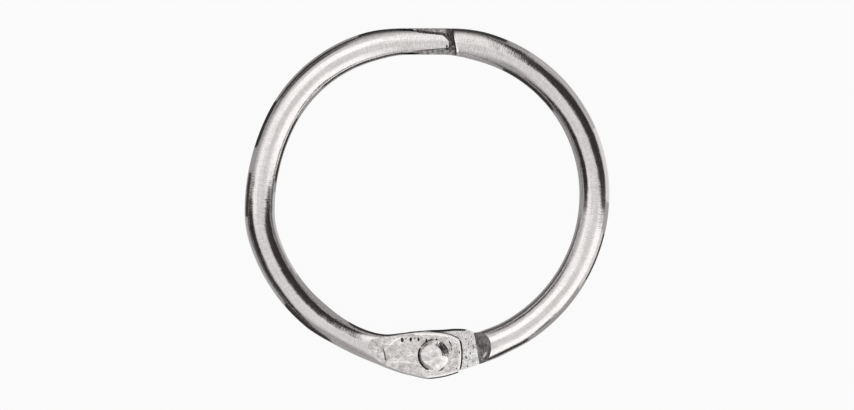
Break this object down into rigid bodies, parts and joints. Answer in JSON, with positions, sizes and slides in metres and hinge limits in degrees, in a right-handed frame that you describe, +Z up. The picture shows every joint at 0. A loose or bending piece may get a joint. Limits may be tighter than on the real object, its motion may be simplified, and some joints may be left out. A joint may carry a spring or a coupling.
{
  "type": "hinged binder ring",
  "caption": "Closed hinged loose-leaf ring of nickel-plated steel wire, with a riveted lap hinge and a tongue that lies in a cradle where the halves meet.",
  "frame": {"origin": "under the middle of the ring's outline, on the surface that the ring lies on", "axes": "+X to the right across the ring's width, +Y from the hinge to the closure, +Z up through the ring's opening"},
  "size_m": [0.0378, 0.0364, 0.0031],
  "materials": {
    "plated_wire": "bright nickel plate over drawn steel wire, matt where the hinge is stamped",
    "rivet_steel": "nickel plate, hammered"
  },
  "bodies": {
    "left": {"left_half": "plated_wire", "hinge_rivet": "rivet_steel"},
    "right": {"right_half": "plated_wire"}
  },
  "joints": [
    {"name": "hinge", "type": "hinge", "parent": "left", "child": "right", "pos_m": [0.00075, -0.01575, 0.00155], "axis": [0, 0, -1], "range_deg": [0, 150]}
  ]
}
